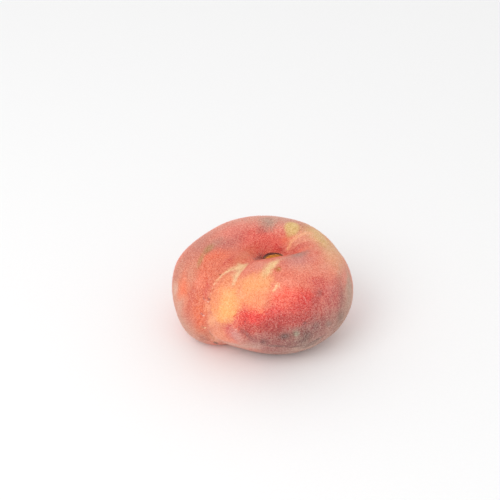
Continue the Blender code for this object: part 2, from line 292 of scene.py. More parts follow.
# What colours the skin. A patch or mark is a soft oval: direction, station, half width across, half length
# down, turn in degrees, colour, strength, and how much of it is a soft edge. Later ones lie over earlier
# ones. A line follows the skin down: colour, then station, direction, strength and half width on its way.
# The patches and marks were placed on a flat picture of the fruit, and a helper script worked out their
# directions, stations, half widths and turns on the skin.
skinLook = {
    "ground": "#EA846C",             # the middle coral of a ripe flat peach
    "patches": {
        # the far slope and the top
        "farSalmon": (125, 0.300, 23, 11, 8, "#DE9C88", 0.85, 1.0),
        "farPink": (65, 0.320, 20, 16, -13, "#D8A592", 0.85, 1.0),
        "farRed": (130, 0.190, 22, 10, 31, "#EC7264", 0.95, 1.0),
        "farCoral": (67, 0.205, 7, 5.8, 20, "#EC8672", 0.8, 1.0),
        "pitRed": (76, 0.145, 12, 6, 13, "#F27C6E", 0.9, 1.0),
        "pitDeep": (59, 0.120, 5.1, 2.4, 0, "#DA4C4C", 0.85, 1.0),
        "pitRightRed": (41, 0.110, 3.9, 2.1, -24, "#BC403E", 0.55, 1.0),
        "dustySlope": (170, 0.255, 15, 5.5, 27, "#D2766B", 0.85, 1.0),
        "dustyGrey": (171, 0.300, 8, 4.2, 30, "#C48C7C", 0.75, 1.0),
        "farStipple": (146, 0.280, 11, 5.3, 7, "#EA8878", 0.7, 1.0),
        "greyBloom": (88, 0.265, 5.7, 6, -38, "#B89483", 0.9, 0.9),
        "greyTail": (105, 0.225, 4.1, 3.4, 7, "#BC5F58", 0.5, 1.0),
        "leftShoulder": (169, 0.355, 21, 10, -10, "#D08472", 0.85, 1.0),
        "shoulderRose": (184, 0.390, 8, 7, 20, "#D67261", 0.75, 1.0),
        "leftCrown": (197, 0.305, 7, 11, 11, "#F37853", 0.9, 0.9),
        "crownRed": (208, 0.270, 2.5, 7, -19, "#D6443C", 0.65, 1.0),
        "crownRedLow": (213, 0.305, 2.3, 6, 8, "#DE4E42", 0.7, 1.0),
        "pitSalmon": (204, 0.210, 3.9, 15, -33, "#EA8662", 0.85, 1.0),
        "nearSpot": (39, 0.310, 9, 7, -8, "#CE8068", 0.85, 1.0),
        "shadeBand": (23, 0.350, 14, 9, 4, "#E6BC82", 1.0, 0.8),
        "bandLow": (8, 0.390, 21, 8, 30, "#E6B788", 0.9, 0.9),
        "shadeTail": (43, 0.190, 3.3, 4.7, 4, "#F98C66", 0.8, 1.0),
        "foldSalmon": (21, 0.210, 4.5, 11, 16, "#EBA284", 0.85, 1.0),
        "foldRed": (10, 0.190, 2.7, 10, 15, "#DA6D60", 0.85, 1.0),
        "valleyPink": (9, 0.290, 3.8, 7, 31, "#E28672", 0.75, 1.0),
        "sideBeige": (353, 0.400, 12, 9, -3, "#FFB082", 0.9, 1.0),
        # the left lobe
        "leftLobe": (216, 0.460, 19, 30, 6, "#E07F5C", 0.95, 0.9),
        "leftOrange": (198, 0.460, 7, 9, -6, "#F57E52", 0.9, 1.0),
        "leftCoral": (211, 0.395, 8, 13, -10, "#E97656", 0.85, 1.0),
        "leftGlow": (210, 0.415, 4.0, 4.8, -15, "#FA9E80", 0.65, 1.0),
        "leftDusty": (199, 0.400, 4.8, 10, -26, "#DE977C", 0.75, 1.0),
        "leftRose": (210, 0.470, 4.3, 11, 1, "#D86A56", 0.7, 1.0),
        "leftEdgeRed": (219, 0.425, 2.6, 7, -9, "#DE5C50", 0.6, 1.0),
        "leftLow": (219, 0.520, 7, 14, -6, "#E97045", 0.85, 1.0),
        "leftLowRose": (209, 0.545, 5.6, 10, -44, "#D06F5C", 0.7, 1.0),
        "leftBottom": (221, 0.600, 10, 6, 45, "#E87E54", 0.85, 1.0),
        "leftBottomShade": (211, 0.645, 30, 5.7, -43, "#C2725E", 0.8, 1.0),
        # painted light that lifts the shade where the bottoms of the left and front lobes meet
        "notchPale": (227, 0.620, 3.2, 7, 12, "#FFB48E", 0.85, 0.9),
        # the sheen patches along the left edge are painted sheen: the down's grey-pink haze where the skin
        # turns away
        "sheenLeftLimb": (188, 0.500, 8, 22, -4, "#CC9C80", 0.75, 0.9),
        "limbRose": (186, 0.450, 4.5, 7, 38, "#CE6A56", 0.75, 1.0),
        "sheenLimbPale": (200, 0.520, 4.1, 9, 19, "#D8AA94", 0.7, 1.0),
        "sheenLimbPaleTop": (191, 0.485, 3.2, 4.8, 11, "#E8C2B0", 0.6, 1.0),
        "sheenLeftLimbLow": (203, 0.595, 15, 11, 34, "#CB9580", 0.9, 0.9),
        # the front lobe
        "frontTop": (263, 0.285, 10, 4.9, -25, "#EC9D88", 0.8, 1.0),
        # the glow patches here and below: the front lobe's yellow ground colour, with painted light where the
        # lobe is most lit
        "glowLeft": (237, 0.380, 8, 9, -10, "#F29A6E", 0.95, 0.6),
        "glowLow": (238, 0.440, 8, 9, 2, "#FAAA6F", 1.0, 0.35),
        "glowMiddle": (260, 0.370, 11, 8, -43, "#FAAD76", 1.0, 0.45),
        "glowInner": (261, 0.405, 7, 5.1, -6, "#F89868", 0.95, 0.45),
        "glowYellow": (241, 0.445, 6, 12, 14, "#FDB872", 0.9, 0.9),
        "glowEdge": (229, 0.425, 4.6, 12, -14, "#EE8860", 0.7, 1.0),
        "sutureGlow": (230, 0.505, 2.8, 6, 13, "#FCB88A", 0.8, 1.0),
        "sutureSpot": (223, 0.470, 1.9, 3.7, 5, "#FAAC84", 0.7, 1.0),
        "glowYellowUpper": (261, 0.370, 10, 5.0, -45, "#FBAE72", 0.8, 1.0),
        "glowSalmon": (247, 0.385, 2.2, 6, 1, "#F08E6E", 0.6, 1.0),
        "coralUpper": (305, 0.370, 15, 10, 13, "#EF866D", 0.8, 1.0),
        "coralPink": (329, 0.370, 15, 11, 29, "#EE8F76", 0.85, 1.0),
        "upperPale": (315, 0.320, 7, 4.2, 25, "#F2AA8E", 0.5, 1.0),
        "upperPaleRight": (338, 0.360, 6, 3.3, 24, "#F4B094", 0.5, 1.0),
        "coralBright": (288, 0.405, 10, 9, 5, "#FC7058", 0.95, 0.7),
        "coralOrange": (284, 0.365, 3.6, 5.9, 32, "#FAA080", 0.6, 1.0),
        "coralOrangeRight": (295, 0.360, 4.1, 3.4, -22, "#FAA48A", 0.5, 1.0),
        "glowTop": (255, 0.320, 4.8, 3.1, -30, "#EA866A", 0.5, 1.0),
        "glowRight": (271, 0.395, 5.1, 6, -11, "#FBA274", 0.65, 1.0),
        "coralLow": (271, 0.450, 14, 4.4, -4, "#EE3E36", 1.0, 0.45),
        "coralDeep": (303, 0.425, 10, 8, -2, "#E42424", 0.95, 0.8),
        "coralRed": (302, 0.410, 5.8, 3.9, -7, "#E42E2C", 0.7, 1.0),
        "coralLight": (295, 0.400, 4.0, 3.1, -10, "#FA7A68", 0.5, 1.0),
        "coralStreak": (310, 0.430, 3.9, 10, 34, "#B43638", 0.65, 1.0),
        "coralRise": (319, 0.380, 6, 3.6, 29, "#E0524A", 0.7, 1.0),
        "coralRight": (323, 0.420, 8, 12, -36, "#D85F58", 0.85, 1.0),
        "roseBand": (337, 0.440, 9, 4.4, -35, "#AE3838", 0.7, 1.0),
        "roseTop": (336, 0.415, 4.2, 3.7, -29, "#D25A52", 0.6, 1.0),
        "dustPale": (325, 0.440, 8, 2.7, -30, "#BE746A", 0.7, 1.0),
        "dustPaleTop": (327, 0.420, 4.3, 2.7, -11, "#E8988A", 0.6, 1.0),
        # the dusk patches here and below: the dusky blush low on the right, partly the skin's own darker colour
        # and partly painted shade of the lower side
        "duskRight": (322, 0.490, 16, 13, 17, "#DA6E66", 0.95, 0.8),
        "duskLow": (302, 0.615, 22, 30, -45, "#A65C56", 1.0, 0.5),
        "duskDeep": (302, 0.535, 15, 9, 4, "#8A3C3A", 0.85, 0.9),
        "duskMaroon": (280, 0.500, 9, 3.1, -1, "#A83432", 0.75, 0.9),
        "duskDustAndShade": (269, 0.520, 6, 3.7, 3, "#BA746C", 0.75, 0.9),
        "duskRose": (288, 0.500, 4.1, 3.0, 17, "#BC726C", 0.5, 1.0),
        "duskRoseRight": (301, 0.505, 4.7, 2.8, 30, "#B46E6A", 0.5, 1.0),
        "duskShadow": (322, 0.565, 10, 13, -28, "#CC887E", 0.7, 1.0),
        "duskSlate": (308, 0.500, 6, 4.7, -32, "#AE6864", 0.75, 1.0),
        "coralUnder": (288, 0.465, 15, 3.9, 0, "#C43232", 0.85, 0.7),
        "redUnderRight": (300, 0.480, 4.7, 3.0, 13, "#A63C3C", 0.6, 1.0),
        "coralInner": (281, 0.430, 4.7, 3.1, -17, "#F24A44", 0.6, 1.0),
        "coralSpot": (291, 0.435, 5.5, 3.2, -1, "#E43A36", 0.6, 1.0),
        "redLow": (273, 0.485, 14, 3.0, -4, "#BC3432", 0.75, 0.9),
        "redEdge": (254, 0.470, 3.7, 9, 4, "#E4402F", 0.8, 1.0),
        "redTop": (259, 0.430, 8, 2.5, -6, "#F47450", 0.6, 1.0),
        "coralNotch": (268, 0.430, 4.7, 2.7, -3, "#FC9268", 0.75, 1.0),
        # the sheen patches along the right and bottom edges are painted sheen: the down's grey-beige haze where
        # the skin turns away
        "sheenLimbRight": (345, 0.490, 12, 22, 33, "#BA9A86", 0.9, 0.9),
        "sideRosePale": (347, 0.430, 10, 3.7, -11, "#F08E7C", 0.7, 1.0),
        "duskLimb": (332, 0.475, 4.7, 9, 23, "#9C5C58", 0.6, 1.0),
        "sheenLimbLowRight": (335, 0.580, 13, 28, -42, "#A87E6E", 0.9, 0.9),
        "sheenLimbLow": (310, 0.665, 15, 30, -35, "#C6AA98", 0.85, 1.0),
        "bottomMauve": (265, 0.565, 12, 8, 21, "#AA625E", 0.85, 0.9),
        "lowPeach": (235, 0.560, 7, 11, 26, "#F09672", 0.9, 0.9),
        "lowRose": (245, 0.520, 4.3, 8, -14, "#DC625A", 0.85, 0.9),
        "lowMauve": (250, 0.540, 3.5, 7, -9, "#DA9E94", 0.8, 0.9),
        "lowMauveDark": (258, 0.515, 2.6, 4.1, -17, "#9C4644", 0.6, 1.0),
        "redTongue": (259, 0.490, 3.2, 6, -23, "#C42C2A", 0.85, 0.9),
        "purplePatch": (254, 0.510, 1.6, 3.8, -4, "#9E3034", 0.75, 0.9),
        "purpleStreak": (261, 0.530, 2.0, 8, -42, "#964044", 0.8, 1.0),
        # painted light along the front's bottom edge, lifting the shade next to the floor
        "lowRim": (251, 0.605, 20, 5.1, -22, "#D2A898", 0.85, 1.0),
        "wedgeCream": (229, 0.285, 3.0, 5.2, -7, "#EEC496", 0.95, 0.7),
        # painted highlight: the down along the lip catching the light, right of the cork
        "lipHighlightRight": (298, 0.245, 5.2, 3.1, 38, "#E4A48E", 0.7, 1.0),
        "wedgeLow": (233, 0.330, 1.5, 5.0, -13, "#F4C89C", 0.85, 0.9),
        "grooveSoft": (277, 0.290, 2.8, 10, 32, "#F4D69C", 0.9, 0.9),
        "lipMauve": (319, 0.290, 11, 6, 9, "#DA9086", 0.8, 1.0),
        # painted shade in the valley to the right of the lip
        "valleyGrey": (334, 0.250, 9, 4.9, -1, "#AC8A80", 0.75, 1.0),
        # the pit's left wall behind the lip: partly its own dark tone, partly painted shade
        "pitSideShade": (170, 0.120, 10, 4.0, 10, "#D0625A", 0.35, 1.0),
        "lipShade": (184, 0.104, 4.2, 2.4, 20, "#7C3438", 0.75, 0.9),
        # round the back and underneath, where the photo doesn't reach
        "underDusk": (285, 0.72, 30, 13, 0, "#AE766A", 0.9, 0.8),
        "sideDusk": (352, 0.62, 18, 18, 0, "#C4907C", 0.8, 0.9),
        "sideRose": (20, 0.52, 17, 15, 10, "#DE7C68", 0.9, 0.8),
        "sideBlush": (14, 0.62, 10, 8, -20, "#C9605A", 0.6, 1.0),
        "cheekRose": (172, 0.56, 16, 15, -10, "#DF7662", 0.85, 0.9),
        "backCream": (48, 0.52, 19, 12, 20, "#E9BE8A", 0.85, 1.0),
        "backBlush": (98, 0.44, 22, 13, -15, "#DC6E60", 0.85, 1.0),
        "backDeep": (128, 0.50, 17, 11, 10, "#C4504A", 0.85, 1.0),
        "backPeach": (160, 0.56, 14, 12, 0, "#EE9A76", 0.8, 1.0),
        "backDusk": (82, 0.58, 18, 9, 8, "#B4746B", 0.8, 1.0),
        "underPeach": (200, 0.84, 20, 14, 0, "#EDB286", 0.8, 1.0),
        "underRose": (120, 0.76, 20, 10, 0, "#D98472", 0.8, 1.0),
        "underCream": (40, 0.86, 18, 16, 0, "#EFCB98", 0.9, 1.0),
        "blossomCream": (0, 1.0, 15, 15, 0, "#EFD3A0", 0.85, 0.9),
    },
    "marks": {
        "shadeSpot": (47.3, 0.260, 4.05, 4.43, -45, "#E4C17F", 1.0, 0.5),
        "shadeSpotLow": (44.3, 0.220, 2.29, 2.69, 1, "#E2B87A", 0.85, 0.9),
        "oliveSpot": (287.3, 0.304, 2.12, 2.56, -9, "#C67630", 0.85, 0.9),
        "oliveDot": (289.0, 0.304, 0.59, 0.77, 1, "#C8B060", 0.8, 0.8),
        "arcUpper": (181.0, 0.320, 5.12, 2.54, 33, "#BE8A58", 0.9, 0.8),
        "arcLower": (193.0, 0.354, 1.58, 5.65, -45, "#CC905C", 0.85, 0.8),
        "scratchA": (282.0, 0.366, 0.65, 2.55, 19, "#FFDCA8", 0.8, 0.8),
        "scratchB": (279.3, 0.376, 0.59, 1.51, 23, "#FFD09C", 0.75, 0.8),
        "scratchC": (285.0, 0.362, 0.52, 1.72, 18, "#FDBE90", 0.7, 0.8),
        "paleScratch": (303.0, 0.414, 0.35, 3.93, -10, "#E8A69A", 0.6, 0.8),
        "whiteSpeck": (283.0, 0.444, 0.30, 0.37, 1, "#F0B4AC", 0.9, 0.7),
        "greenDisc": (292.7, 0.516, 2.22, 2.83, -37, "#948874", 0.8, 0.8),
        "discDot": (294.3, 0.516, 0.53, 0.70, -35, "#C8B8A4", 0.7, 0.6),
        "smudge": (285.0, 0.522, 3.59, 2.92, -13, "#6E4242", 0.8, 0.9),
        "smudgeLow": (270.0, 0.548, 1.87, 2.53, 7, "#86484A", 0.75, 0.9),
        "smudgeFar": (299.0, 0.480, 1.43, 1.05, -32, "#7E3E40", 0.75, 0.9),
        # painted shade in the fine creases low on the front
        "creaseShadeA": (280.3, 0.574, 8.13, 1.42, 10, "#744040", 0.8, 0.9),
        "creaseShadeB": (296.7, 0.596, 7.78, 1.78, 8, "#744846", 0.75, 0.9),
        "creaseShadeC": (310.3, 0.588, 6.69, 2.05, -16, "#6E4A46", 0.8, 0.9),
        "creaseShadeD": (307.3, 0.614, 6.89, 2.28, -6, "#744E4A", 0.75, 0.9),
        "spotA": (300.7, 0.536, 3.17, 5.43, -9, "#6C3636", 0.75, 1.0),
        "spotB": (306.7, 0.504, 3.12, 3.65, -20, "#744A4A", 0.5, 1.0),
        "spotC": (317.3, 0.522, 2.36, 4.05, -43, "#725450", 0.5, 1.0),
        "spotD": (330.0, 0.532, 3.65, 6.76, -29, "#846A5C", 0.6, 1.0),
        "spotE": (291.7, 0.570, 5.17, 3.58, 22, "#8A3C3C", 0.7, 1.0),
        "spotH": (299.0, 0.566, 5.42, 4.43, 38, "#6A3C3A", 0.65, 1.0),
        "spotI": (271.3, 0.546, 3.58, 3.24, 18, "#7A3A3C", 0.5, 1.0),
        "spotG": (305.7, 0.470, 3.58, 1.92, -28, "#A03C3E", 0.6, 1.0),
        "spotJ": (316.0, 0.414, 2.93, 2.08, -27, "#A8383A", 0.6, 1.0),
        "sutureDot": (219.3, 0.354, 0.43, 0.80, 45, "#A8703E", 0.8, 0.8),
        "dashA": (220.7, 0.374, 0.42, 1.21, 8, "#FAD0A4", 0.75, 0.8),
        "dashB": (221.3, 0.390, 0.41, 1.20, -1, "#FBD2A6", 0.75, 0.8),
        "dashC": (222.3, 0.408, 0.42, 1.06, -5, "#FACBA0", 0.7, 0.8),
        "dashD": (223.3, 0.426, 0.42, 0.93, -9, "#F8C09A", 0.7, 0.8),
        "scabA": (223.7, 0.442, 1.02, 0.63, 11, "#A84448", 0.8, 0.8),
        "scabALeft": (219.7, 0.446, 1.07, 0.54, 36, "#B04848", 0.7, 0.8),
        "scabAWhite": (223.3, 0.450, 0.61, 0.44, -27, "#F0CFC0", 0.8, 0.7),
        "scabB": (220.7, 0.500, 1.16, 0.66, -6, "#B06468", 0.75, 0.8),
        "scabBWhite": (222.0, 0.504, 0.74, 0.48, -33, "#F4D6C8", 0.8, 0.7),
        "scabC": (221.0, 0.556, 1.61, 0.88, -8, "#C4683C", 0.8, 0.8),
        "scabCWhite": (222.3, 0.556, 0.97, 0.58, -27, "#FCDCB0", 0.85, 0.7),
        "streakLow": (225.3, 0.588, 0.99, 5.67, 2, "#BC6848", 0.6, 1.0),
        "streakLowLeft": (218.7, 0.612, 2.37, 4.46, -29, "#B25C4C", 0.6, 1.0),
        "lintA": (250.3, 0.508, 0.30, 1.10, 23, "#F8C8B4", 0.75, 0.7),
        "lintB": (256.3, 0.496, 0.53, 0.42, -33, "#F2A694", 0.75, 0.7),
        "lintC": (256.7, 0.470, 0.52, 0.59, 26, "#A8404A", 0.7, 0.8),
        # painted shade in the notch where the two lobes meet at the bottom
        "notch": (223.0, 0.654, 0.97, 2.77, 1, "#5E2C22", 0.85, 0.7),
    },
    "lines": {
        "sutureCream": ("#F6D0A2", [
            (0.212, 229, 0.0, 0.4), (0.228, 228, 0.7, 0.8), (0.246, 228, 0.9, 1.3), (0.268, 227, 0.95, 1.6),
            (0.29, 227, 0.95, 1.8), (0.31, 224, 0.9, 1.6), (0.335, 222, 0.8, 1.1), (0.355, 221, 0.7, 0.9),
            (0.38, 222, 0.45, 0.9), (0.41, 224, 0.25, 0.9), (0.46, 226, 0.0, 0.8)]),
        "branchCream": ("#F6D0A2", [
            (0.25, 234, 0.0, 0.6), (0.27, 235, 0.9, 1.1), (0.30, 235.5, 0.95, 1.3), (0.325, 236, 0.9, 1.3),
            (0.35, 238, 0.8, 1.2), (0.37, 239, 0.6, 1.3), (0.395, 240, 0.0, 1.4)]),
        "grooveCream": ("#F8D2A0", [
            (0.235, 292, 0.0, 1.6), (0.25, 289, 0.55, 2.2), (0.27, 284, 0.6, 2.6), (0.285, 279, 0.55, 2.8),
            (0.30, 275, 0.45, 2.8), (0.32, 270, 0.3, 2.8), (0.335, 266, 0.0, 2.8)]),
        "foldStreak": ("#F6B98E", [
            (0.125, 30, 0.0, 0.5), (0.14, 31, 0.8, 0.8), (0.19, 33, 0.95, 0.9), (0.24, 30, 0.95, 1.1),
            (0.31, 27, 0.7, 1.6), (0.37, 30, 0.0, 2.0)]),
        "foldStreakFar": ("#EFA884", [
            (0.13, 42, 0.0, 0.5), (0.17, 41, 0.5, 0.6), (0.215, 38, 0.6, 0.7), (0.27, 34, 0.6, 0.9),
            (0.33, 31, 0.0, 1.0)]),
        "lipShadow": ("#88363A", [
            (0.080, 160, 0.0, 2.0), (0.10, 177, 0.5, 2.6), (0.13, 195, 0.6, 2.4), (0.15, 206, 0.55, 1.8),
            (0.176, 217, 0.4, 1.2), (0.21, 220, 0.0, 0.8)]),
        "foldStreakNear": ("#F0AC8C", [
            (0.15, 18, 0.0, 0.4), (0.17, 18, 0.45, 0.5), (0.22, 18, 0.6, 0.6), (0.27, 16, 0.6, 0.7),
            (0.315, 15, 0.5, 0.9), (0.36, 15, 0.0, 1.0)]),
    },
    "stemStainAndShade": {                   # the dark ring round the cork: partly a real stain, partly painted shade of the deep pit
        "colour": "#6C2A28",
        "fades": (0.074, 0.096),     # stations where it starts to fade and where it ends
        "leans": (160, 0.007),       # the direction in which it reaches further, and how much
    },
    "shakes": ((11.0, 2.0), (2.4, 2.0)),     # spacing and reach of the noise that bends the patches' edges
    # The dots and the speckle on the real skin are under 0.1 mm and would not show, so both are coarser.
    "stipple": (0.30, 1.6, 0.4),             # spacing of the dots, their reach in patches and in marks
    "speckle": (0.22, (0.15, 0.16, 0.12), 0.1),      # spacing, steps in red, green and blue, more in dusk
    "streaks": ((26, 26, 9), (0.035, 0.045, 0.035), 2.0),    # how often round and down, then the same
    "clouds": (4.5, (0.02, 0.025, 0.018)),   # spacing, and steps in red, green and blue
    "darkest": (0.02, 0.02, 0.02),
    "broken": 0.5,                   # spacing of the noise that breaks up the lines, the stain and its painted shade
    "lineEdge": (0.10, 0.46),        # where a line starts to show and where it shows in full
    "ringShadeAndStainEdge": (0.45, 0.95),
    "ringShadeAndStainBroken": 0.5,              # how much of the noise is in the edge of the stain and its painted shade
    "roughness": 0.62,
    "ior": 1.40,
    "sheen": (0.25, 0.45, "#FFE9DF"),
    "pores": (0.6, 0.35, 0.15),      # spacing, strength and depth
}


def shaken(tree, place, cloud, reach):
    # the place moved at random, as the three values of the cloud say
    off = addNode(tree, "VectorMath", {0: cloud, 1: (0.5, 0.5, 0.5)}, operation="SUBTRACT").outputs[0]
    step = addNode(tree, "VectorMath", {0: off, "Scale": reach * mm}, operation="SCALE").outputs[0]
    return addNode(tree, "VectorMath", {0: place, 1: step}).outputs[0]


def shakenPlaces(tree, still):
    # the place on the fruit, shaken for the patches so that they end in stipple, and nearly still for marks
    place = still
    for spacing, reach in skinLook["shakes"]:
        cloud = addNode(tree, "TexNoise", {"Vector": still, "Scale": 1 / (spacing * mm), "Detail": 1.0})
        place = shaken(tree, place, cloud.outputs["Color"], reach)
    spacing, broad, small = skinLook["stipple"]
    dots = addNode(tree, "TexVoronoi", {"Vector": still, "Scale": 1 / (spacing * mm)}).outputs["Color"]
    return shaken(tree, place, dots, broad), shaken(tree, still, dots, small)


def ovalLayer(tree, place, patch):
    # the mask of a soft oval that lies on the skin, and its colour
    direction, station, halfAcross, halfDown, turn, tone, strength, soft = patch
    lowest = 0.999                   # at the blossom end itself the ways across and down are lost
    middle, across, down, out = placeOnSkin(direction, min(station, lowest))
    axes = Matrix((across, down, out)).transposed() @ Matrix.Rotation(math.radians(turn), 3, "Z")
    size = Vector((halfAcross, halfDown, max(halfAcross, halfDown))) * mm
    local = addNode(tree, "Mapping", {"Vector": place, "Location": middle * mm, "Rotation": axes.to_euler(),
                                      "Scale": size}, vector_type="TEXTURE")
    ball = addNode(tree, "TexGradient", {"Vector": local.outputs[0]}, gradient_type="SPHERICAL")
    mask = addNode(tree, "MapRange", {"Value": ball.outputs["Fac"], "From Max": soft, "To Max": strength},
                   interpolation_type="SMOOTHSTEP")
    return mask.outputs[0], tone


def vary(tree, colour, amount, steps):
    # moves red, green and blue up and down by their own steps as amount goes from 0 to 1
    swing = addNode(tree, "MapRange", {"Value": amount, "To Min": -1.0, "To Max": 1.0}, clamp=False)
    moved = addNode(tree, "VectorMath", {0: swing.outputs[0], 1: steps, 2: colour}, operation="MULTIPLY_ADD")
    return addNode(tree, "VectorMath", {0: moved.outputs[0], 1: skinLook["darkest"]},
                   operation="MAXIMUM").outputs[0]


def moreInDusk(tree, dusk, steps, more):
    # the steps of a variation, raised by this share where the blush is dusky
    raised = [more * step for step in steps]
    return addNode(tree, "VectorMath", {0: dusk, 1: raised, 2: steps}, operation="MULTIPLY_ADD").outputs[0]


def skinColour(tree, still):
    # the blush, lines, stain and marks, some painted light and shade, with finer and finer variation over them
    place, marks = shakenPlaces(tree, still)
    layers, dusk = [], 0.0
    for name, patch in skinLook["patches"].items():
        layers.append(ovalLayer(tree, place, patch))
        if name.startswith("dusk"):
            dusk = addNode(tree, "Math", {0: layers[-1][0], 1: dusk}, operation="MAXIMUM").outputs[0]
    fine = addNode(tree, "TexNoise", {"Vector": still, "Scale": 1 / (skinLook["broken"] * mm), "Detail": 2.0})
    fine = fine.outputs["Fac"]
    starts, full = skinLook["lineEdge"]
    for name, (tone, course) in skinLook["lines"].items():
        mask = addNode(tree, "Attribute", attribute_name=name).outputs["Fac"]
        broken = addNode(tree, "Math", {0: mask, 1: fine}, operation="MULTIPLY").outputs[0]
        mask = addNode(tree, "MapRange", {"Value": broken, "From Min": starts, "From Max": full},
                       interpolation_type="SMOOTHSTEP")
        layers.append((mask.outputs[0], tone))
    # the stain round the cork, with painted shade where the pit is deep and narrow
    ringShadeAndStain = addNode(tree, "Attribute", attribute_name="stemStainAndShade").outputs["Fac"]
    broken = addNode(tree, "Math", {0: fine, 1: skinLook["ringShadeAndStainBroken"], 2: ringShadeAndStain}, operation="MULTIPLY_ADD")
    starts, full = skinLook["ringShadeAndStainEdge"]
    ringShadeAndStain = addNode(tree, "MapRange", {"Value": broken.outputs[0], "From Min": starts, "From Max": full},
                    interpolation_type="SMOOTHSTEP")
    layers.append((ringShadeAndStain.outputs[0], skinLook["stemStainAndShade"]["colour"]))
    for patch in skinLook["marks"].values():
        layers.append(ovalLayer(tree, marks, patch))
    colour = layColours(tree, linear(skinLook["ground"]), layers)

    spacing, steps = skinLook["clouds"]
    cloud = addNode(tree, "TexNoise", {"Vector": still, "Scale": 1 / (spacing * mm), "Detail": 3.0})
    colour = vary(tree, colour, cloud.outputs["Fac"], steps)
    often, steps, more = skinLook["streaks"]
    way = addNode(tree, "Attribute", attribute_name="way").outputs["Vector"]
    stretched = addNode(tree, "VectorMath", {0: way, 1: often}, operation="MULTIPLY").outputs[0]
    streak = addNode(tree, "TexNoise", {"Vector": stretched, "Scale": 1.0, "Detail": 3.0})
    colour = vary(tree, colour, streak.outputs["Fac"], moreInDusk(tree, dusk, steps, more))
    spacing, steps, more = skinLook["speckle"]
    cells = addNode(tree, "TexVoronoi", {"Vector": still, "Scale": 1 / (spacing * mm)}, feature="F1")
    cell = addNode(tree, "SeparateColor", {0: cells.outputs["Color"]}).outputs[0]
    return vary(tree, colour, cell, moreInDusk(tree, dusk, steps, more))


def peachSkin():
    # peach skin under short down: thin and matte, so its blush looks soft and dusty
    material, tree, shader = newMaterial("downy peach skin")
    still = addNode(tree, "TexCoord").outputs["Object"]
    tree.links.new(skinColour(tree, still), shader.inputs["Base Color"])
    shader.inputs["Roughness"].default_value = skinLook["roughness"]
    shader.inputs["IOR"].default_value = skinLook["ior"]
    weight, roughness, tint = skinLook["sheen"]
    shader.inputs["Sheen Weight"].default_value = weight
    shader.inputs["Sheen Roughness"].default_value = roughness
    shader.inputs["Sheen Tint"].default_value = linear(tint)
    spacing, strength, depth = skinLook["pores"]
    pores = addNode(tree, "TexNoise", {"Vector": still, "Scale": 1 / (spacing * mm), "Detail": 2.0})
    bump = addNode(tree, "Bump", {"Height": pores.outputs["Fac"], "Strength": strength, "Distance": depth * mm})
    tree.links.new(bump.outputs[0], shader.inputs["Normal"])
    return material


def markPlaces(piece, angle, station):
    # where each point is, for the streaks, and how strongly each line and the stain with its painted shade show
    # there
    storeValues(piece, "way", np.stack([np.cos(angle), np.sin(angle), station], -1))
    for name, (tone, course) in skinLook["lines"].items():
        across, strength, width = alongCourse(course, angle, station, outline(station)[0])
        storeValues(piece, name, strength * np.exp(-(across / width) ** 2))
    inner, outer = skinLook["stemStainAndShade"]["fades"]
    towards, lean = skinLook["stemStainAndShade"]["leans"]
    reach = station - lean * np.cos(angle - math.radians(towards))
    storeValues(piece, "stemStainAndShade", 1 - ease((reach - inner) / (outer - inner)))


def makeSkin():
    around, rows = fruit["meridians"], fruit["parallels"] - 1
    faces, places = [], []           # places are the column and row of each face's corners, for the UV map
    for i in range(around):
        j = (i + 1) % around
        faces.append((0, 1 + i, 1 + j))
        places += [(i + 0.5, 0), (i, 1), (i + 1, 1)]
        for row in range(1, rows):
            a, b = 1 + (row - 1) * around, 1 + row * around
            faces.append((a + i, b + i, b + j, a + j))
            places += [(i, row), (i, row + 1), (i + 1, row + 1), (i + 1, row)]
        last = 1 + (rows - 1) * around
        faces.append((last + i, last + around, last + j))
        places += [(i, rows), (i + 0.5, rows + 1), (i + 1, rows)]
    piece = meshPiece("skin", skinPoints, faces, peachSkin())
    uv = np.array(places) / (around, -fruit["parallels"]) + (0, 1)
    piece.data.uv_layers.new(name="OFBake").data.foreach_set("uv", uv.astype(np.float32).ravel())
    markPlaces(piece, skinAngle, skinStation)
    return piece


skin = makeSkin()
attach(skin, "root")
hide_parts("peach")
print("skin made:", len(skin.data.polygons), "faces")


# The cork where the stalk broke off, and the small scar of the blossom end.
corkLook = {
    "stemEdge": 0.076,               # the station that the cork reaches
    "stemLeans": -0.14,              # its share more on the far side, or below 0 on the near side
    "stemRise": 0.75,                # how far the cork stands over the pit's floor
    "blossomEdge": 0.028,
    "blossomRise": 0.35,
    "ring": 150,
    "rows": 34,
    "backDepth": 0.35,               # how far its back lies under the skin
    "grain": (0.9, 2.6),             # ridges of the mesh a millimetre, along the grain and across it
    "ridgeHeight": 0.16,
    "ridgesEnd": 0.12,               # the share at its edge where the ridges fade out
    "cork": "#FFAA3A",
    "corkDark": "#8C4A1A",
    "corkPale": "#FFC46C",
    "corkEdge": "#4A2314",
    "ridges": (0.7, 3.2),            # spacing, and how much closer they stand across the grain
    "ridgeShade": (0.50, 0.36),      # where the dark between them starts and where it is full
    "mottle": 1.6,                   # spacing of the pale patches
    "mottleShade": (0.52, 0.68),
    "edgeShade": (0.90, 1.0),
    "bump": (0.8, 0.25),             # strength and height
    "roughness": 0.85,
    "ior": 1.45,
}


